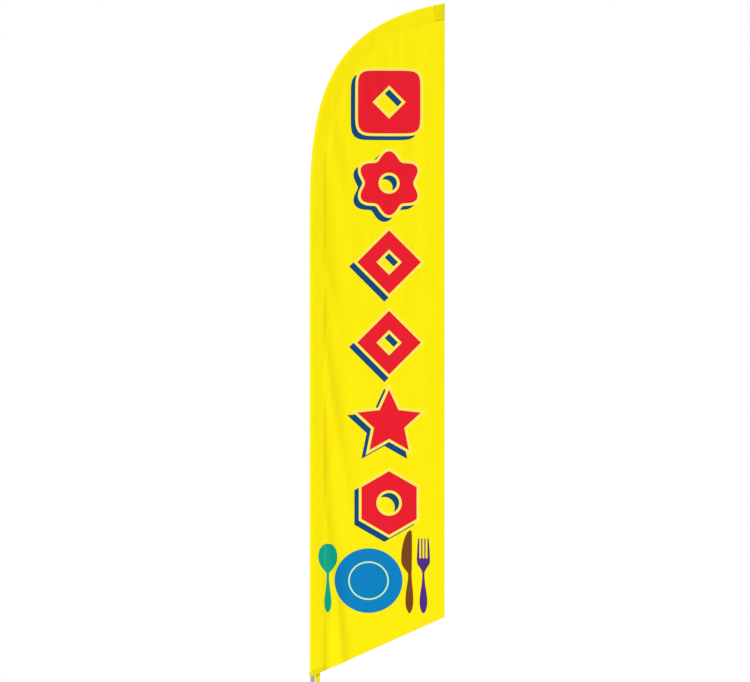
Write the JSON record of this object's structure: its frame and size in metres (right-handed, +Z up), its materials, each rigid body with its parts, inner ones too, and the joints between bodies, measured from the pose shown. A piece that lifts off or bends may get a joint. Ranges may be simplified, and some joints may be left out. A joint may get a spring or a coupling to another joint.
{
  "type": "feather flag with pole",
  "caption": "Tall feather-shaped cloth flag on a curved sectional mast, turning on a bearing in a ground spike with a step plate.",
  "frame": {"origin": "the mast's axis at ground level, which is the step plate's underside", "axes": "+Z up along the straight mast, +X from the mast to the flag's free edge, the flag's printed front faces -Y"},
  "size_m": [0.762, 0.078, 5.17],
  "materials": {
    "cloth": "matte",
    "webbing": "matte",
    "plated_steel": "satin",
    "aluminium": "satin",
    "fibreglass": "satin",
    "nylon": "matte",
    "rubber": "matte",
    "coated_steel": "satin",
    "bearing_steel": "polished"
  },
  "bodies": {
    "spike": {"step_plate": "coated_steel", "spike_shaft": "coated_steel", "spike_fin_1": "coated_steel", "spike_fin_2": "coated_steel", "spike_fin_3": "coated_steel", "spike_fin_4": "coated_steel", "bearing_housing": "coated_steel", "housing_bolt_1": "plated_steel", "housing_bolt_2": "plated_steel", "housing_bolt_3": "plated_steel", "housing_bolt_4": "plated_steel", "lower_outer_race": "bearing_steel", "upper_outer_race": "bearing_steel", "outer_spacer": "plated_steel", "retaining_ring": "plated_steel"},
    "rotor": {"spindle": "plated_steel", "spindle_nut": "plated_steel", "dust_cap": "nylon", "lower_inner_race": "bearing_steel", "upper_inner_race": "bearing_steel", "inner_spacer": "plated_steel"},
    "lower_balls": {"lower_ball_cage": "bearing_steel"},
    "upper_balls": {"upper_ball_cage": "bearing_steel"},
    "mast": {"foot_bush": "nylon", "guide_bush": "nylon", "pole_section_1": "aluminium", "pole_section_2": "aluminium", "pole_section_3": "aluminium", "pole_section_4": "fibreglass", "pole_section_5": "fibreglass", "stop_ring_1": "nylon", "stop_ring_2": "nylon", "stop_ring_3": "nylon", "stop_ring_4": "nylon", "tip_cap": "rubber", "button_spring": "plated_steel", "flag_panel": "cloth", "pole_sleeve": "cloth", "mouth_binding": "webbing", "tip_pocket": "webbing", "tension_tab": "webbing"},
    "collar": {"hook_collar": "nylon", "tension_hook": "plated_steel", "tab_grommet": "plated_steel"},
    "clamp_screw": {"thumbscrew": "nylon"},
    "button": {"lock_button": "plated_steel"}
  },
  "joints": [
    {"name": "spindle_spin", "type": "hinge", "parent": "spike", "child": "rotor", "pos_m": [0, 0, 0.05], "axis": [0, 0, 1], "continuous": true},
    {"name": "lower_balls_spin", "type": "hinge", "parent": "spike", "child": "lower_balls", "pos_m": [0, 0, 0.0223], "axis": [0, 0, 1], "continuous": true},
    {"name": "upper_balls_spin", "type": "hinge", "parent": "spike", "child": "upper_balls", "pos_m": [0, 0, 0.0426], "axis": [0, 0, 1], "continuous": true},
    {"name": "mast_lift", "type": "slide", "parent": "rotor", "child": "mast", "axis": [0, 0, 1], "range_m": [0, 0.17]},
    {"name": "collar_slide", "type": "slide", "parent": "mast", "child": "collar", "axis": [0, 0, 1], "range_m": [0, 0.03], "deforming": ["tension_tab"]},
    {"name": "thumbscrew_turn", "type": "hinge", "parent": "collar", "child": "clamp_screw", "pos_m": [0, -0.03, 0.892], "axis": [0, -1, 0], "range_deg": [-360, 0]},
    {"name": "lock_button_press", "type": "slide", "parent": "mast", "child": "button", "axis": [0, 1, 0], "range_m": [0, 0.0042], "stiffness_N_per_m": 800, "springref_m": -0.001, "deforming": ["button_spring"]}
  ],
  "couplings": [
    {"joint": "lower_balls_spin", "follows": "spindle_spin", "ratio": 0.3682},
    {"joint": "upper_balls_spin", "follows": "spindle_spin", "ratio": 0.3682}
  ]
}
